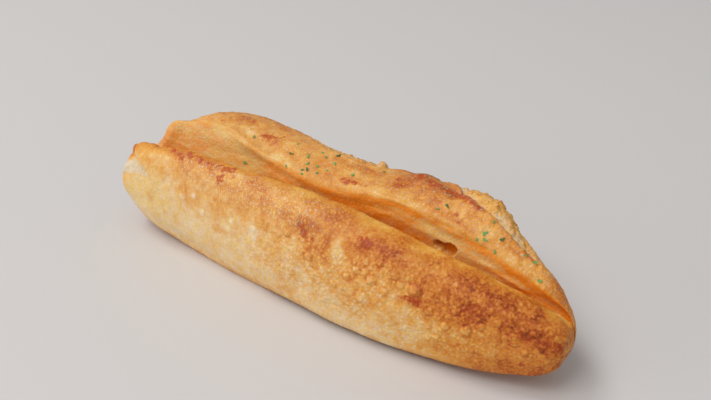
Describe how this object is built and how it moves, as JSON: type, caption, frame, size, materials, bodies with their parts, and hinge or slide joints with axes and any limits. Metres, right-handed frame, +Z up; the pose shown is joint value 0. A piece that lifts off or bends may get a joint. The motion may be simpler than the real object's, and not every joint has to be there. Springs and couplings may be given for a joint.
{
  "type": "baguette",
  "caption": "Short garlic baguette, split lengthwise along its top, with a blistered crust, a torn back shoulder and dried parsley flakes.",
  "frame": {"origin": "on the table, below the middle of the loaf's bounding box", "axes": "+X along the loaf, +Z up out of its split top, +Y across it, towards the taller lobe behind the cut"},
  "size_m": [0.23, 0.0662, 0.0599],
  "materials": {
    "crust": "baked golden crust, matt where floury and slightly glossy where buttered",
    "parsley": "dried leaf, matt"
  },
  "bodies": {
    "root": {"loaf": "crust", "parsley_flake_01": "parsley", "parsley_flake_02": "parsley", "parsley_flake_03": "parsley", "parsley_flake_04": "parsley", "parsley_flake_05": "parsley", "parsley_flake_06": "parsley", "parsley_flake_07": "parsley", "parsley_flake_08": "parsley", "parsley_flake_09": "parsley", "parsley_flake_10": "parsley", "parsley_flake_11": "parsley", "parsley_flake_12": "parsley", "parsley_flake_13": "parsley", "parsley_flake_14": "parsley", "parsley_flake_15": "parsley", "parsley_flake_16": "parsley", "parsley_flake_17": "parsley", "parsley_flake_18": "parsley", "parsley_flake_19": "parsley", "parsley_flake_20": "parsley", "parsley_flake_21": "parsley", "parsley_flake_22": "parsley", "parsley_flake_23": "parsley", "parsley_flake_24": "parsley", "parsley_flake_25": "parsley", "parsley_flake_26": "parsley", "parsley_flake_27": "parsley", "parsley_flake_28": "parsley", "parsley_flake_29": "parsley", "parsley_flake_30": "parsley", "parsley_flake_31": "parsley", "parsley_flake_32": "parsley"}
  },
  "joints": []
}
